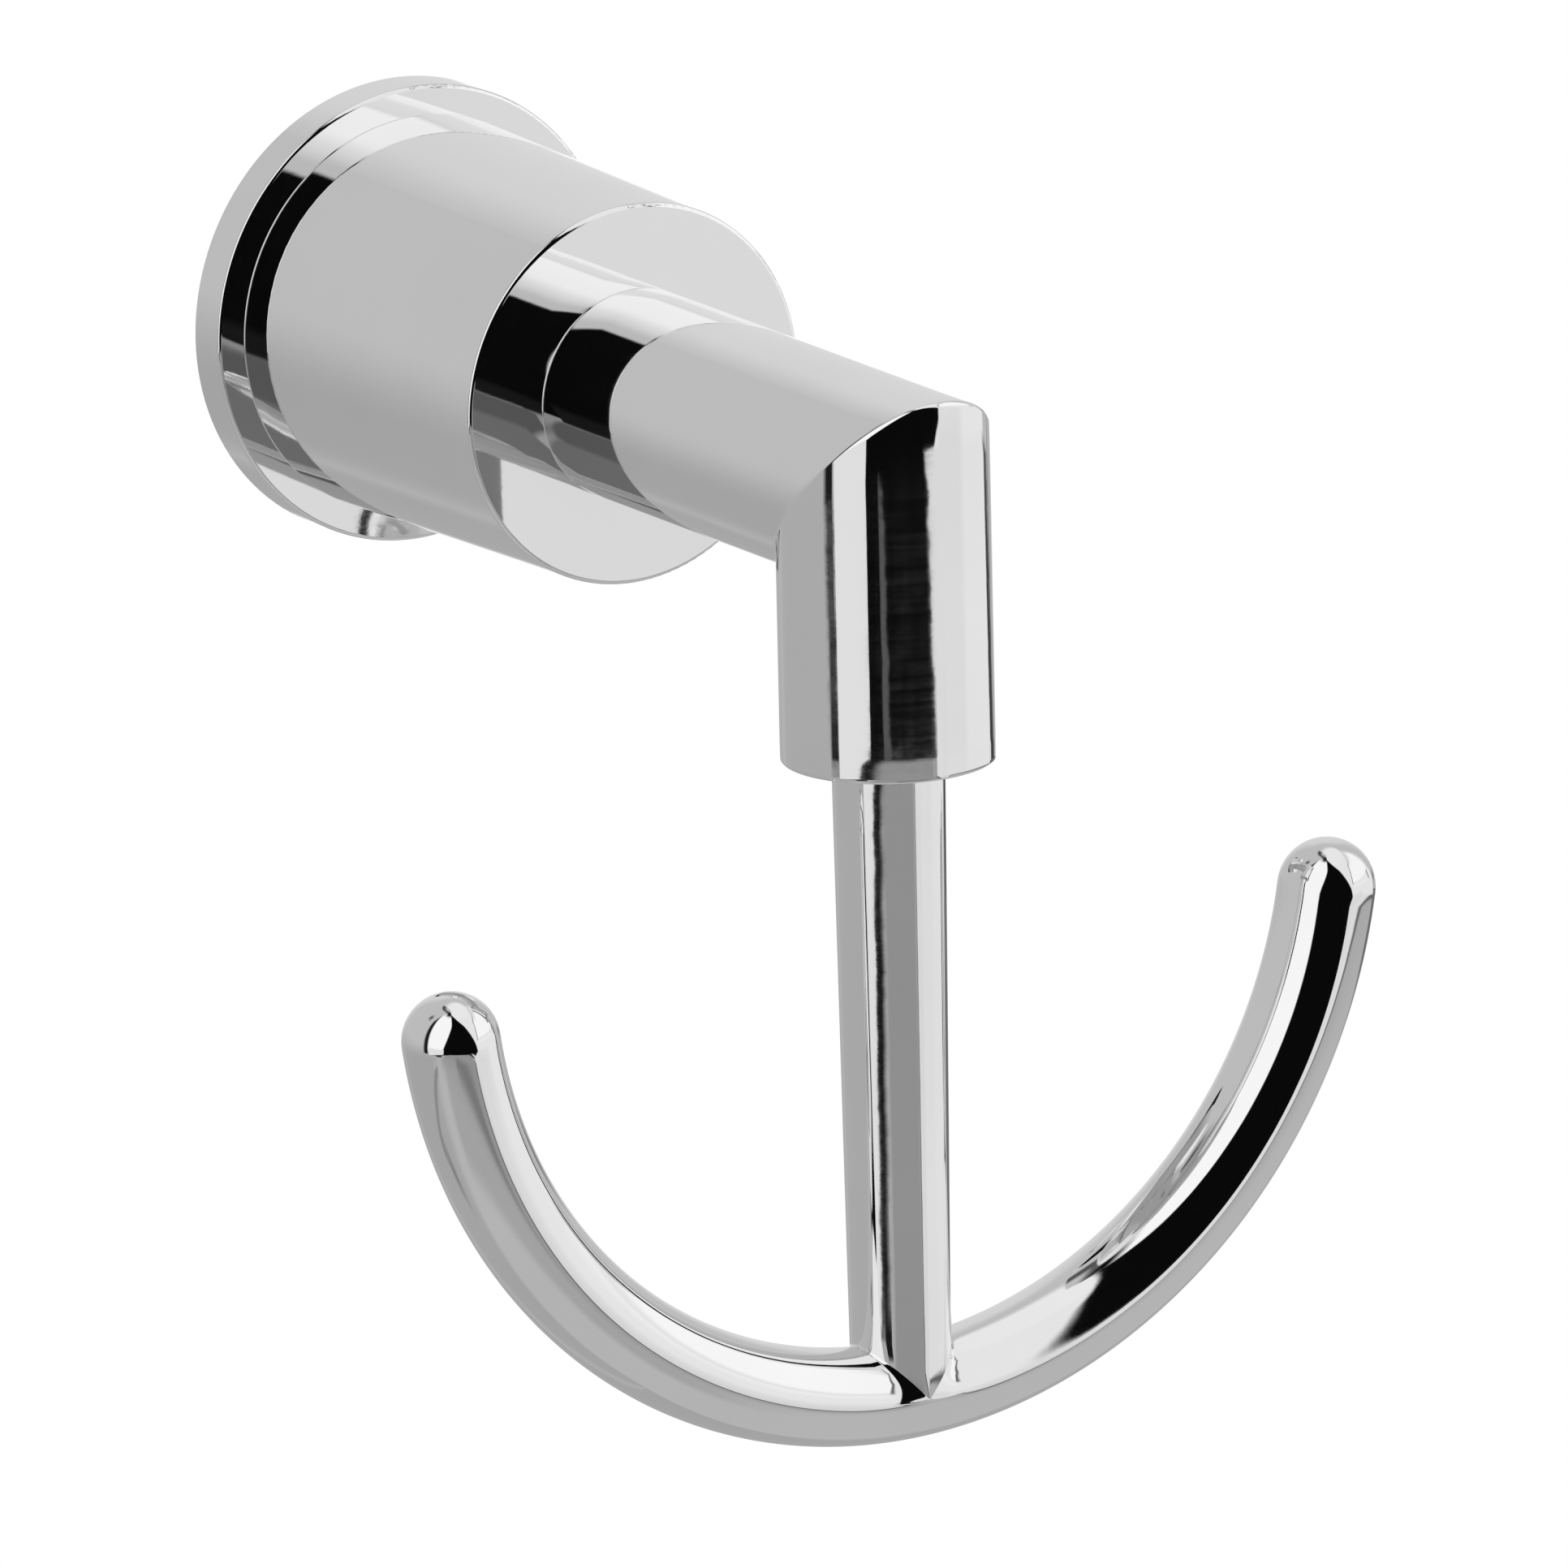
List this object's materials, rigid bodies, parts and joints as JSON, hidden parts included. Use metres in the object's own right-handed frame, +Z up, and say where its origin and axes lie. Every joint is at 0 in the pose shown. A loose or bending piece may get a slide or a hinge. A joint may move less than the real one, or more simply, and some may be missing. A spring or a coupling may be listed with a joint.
{
  "type": "double robe hook",
  "caption": "Wall-mounted double robe hook: a round flange and post carry a mitred arm, whose hanging stem ends in a round bar bent into a hook on each side.",
  "frame": {"origin": "centre of the wall side on the axis of the post, in the plane of the wall, midway between the two wall screw holes", "axes": "+Z up; the wall is the plane y = 0 and the hook stands out of it along -Y; +X to the right when the hook is looked at from the room"},
  "size_m": [0.1048, 0.0946, 0.1123],
  "materials": {
    "chrome": "polished chrome plate",
    "cast_zinc": "dull cast metal",
    "screw_steel": "bright zinc plate"
  },
  "bodies": {
    "root": {"wall_flange": "chrome", "post": "chrome", "elbow_arm": "chrome", "double_hook": "chrome", "wall_bracket": "cast_zinc", "set_screw": "screw_steel", "arm_screw": "screw_steel", "spring_washer": "screw_steel", "hook_stud": "screw_steel"}
  },
  "joints": []
}
